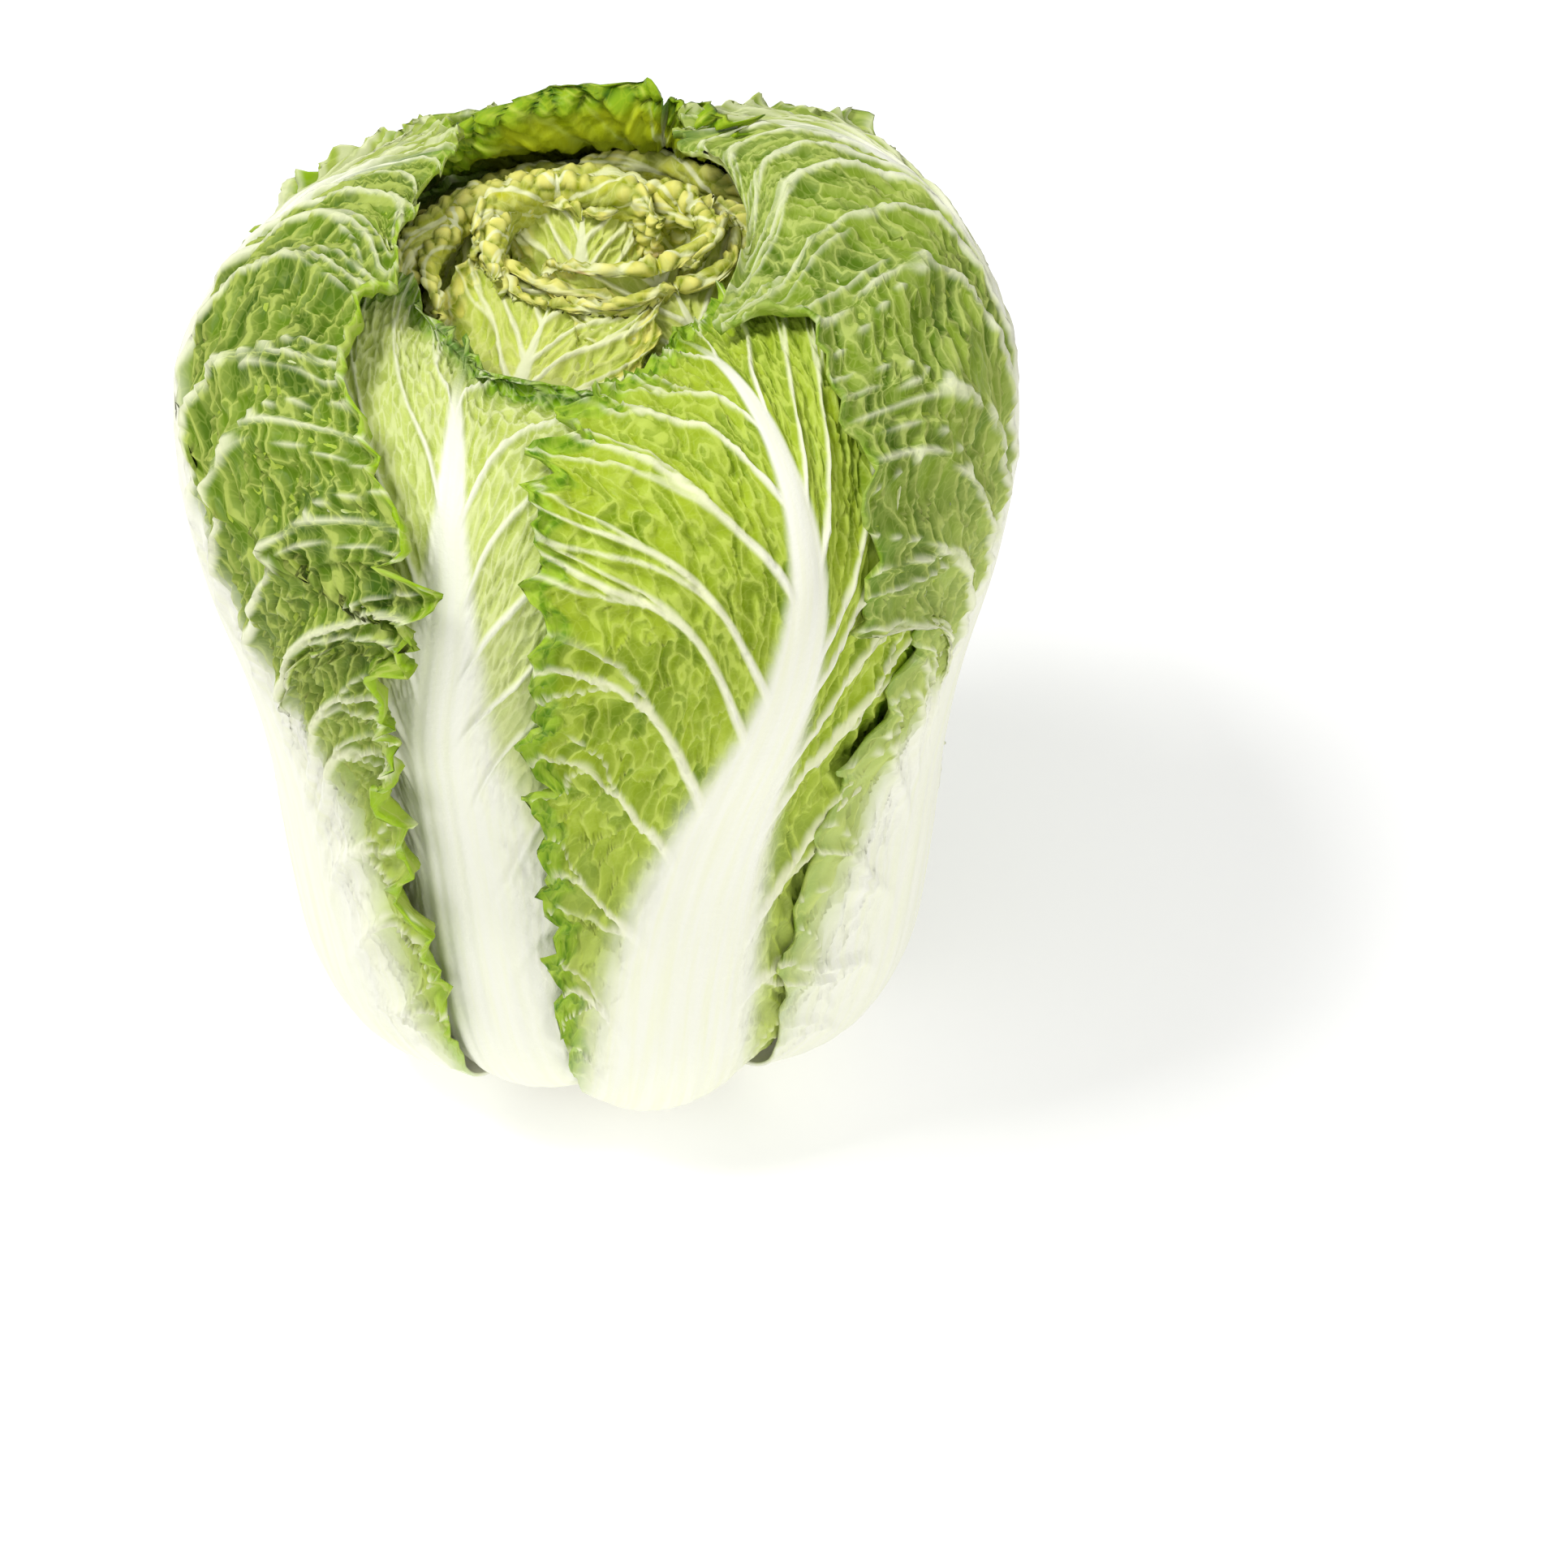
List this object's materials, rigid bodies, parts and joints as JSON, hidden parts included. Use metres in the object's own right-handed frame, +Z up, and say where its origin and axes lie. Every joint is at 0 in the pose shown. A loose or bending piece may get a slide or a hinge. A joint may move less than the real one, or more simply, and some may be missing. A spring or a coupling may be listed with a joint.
{
  "type": "napa cabbage",
  "caption": "Stout barrel-shaped head of crinkled, veined leaves on broad white stalks, open at the crown, standing on its cut stem.",
  "frame": {"origin": "centre of the stem's flat cut face, on the surface the head stands on", "axes": "+Z up along the head's own axis, from the cut stem to the open crown; -Y is the front, with the broad pale stalk and the overlap of the two front leaves; +X is to the right seen from the front"},
  "size_m": [0.1876, 0.1688, 0.2477],
  "materials": {
    "stem": "matt, cut across, ivory with a brownish rim",
    "outer_leaf": "satin, waxy, green blade with pale veins and a white stalk",
    "pale_leaf": "satin, pale green blade with a white stalk",
    "standing_leaf": "satin, yellow-green blade with a dark green edge",
    "heart": "satin, cream to yellow-green, crinkled"
  },
  "bodies": {
    "root": {"stem": "stem", "outer_leaf_left": "outer_leaf", "outer_leaf_right": "outer_leaf", "outer_leaf_front_right": "outer_leaf", "outer_leaf_back": "outer_leaf", "outer_leaf_front": "pale_leaf", "outer_leaf_back_left": "outer_leaf", "outer_leaf_under_right": "outer_leaf", "standing_back_leaf": "standing_leaf", "inner_leaf_1": "pale_leaf", "inner_leaf_2": "pale_leaf", "inner_leaf_3": "pale_leaf", "inner_leaf_4": "pale_leaf", "inner_leaf_5": "pale_leaf", "inner_leaf_6": "pale_leaf", "heart": "heart"}
  },
  "joints": []
}
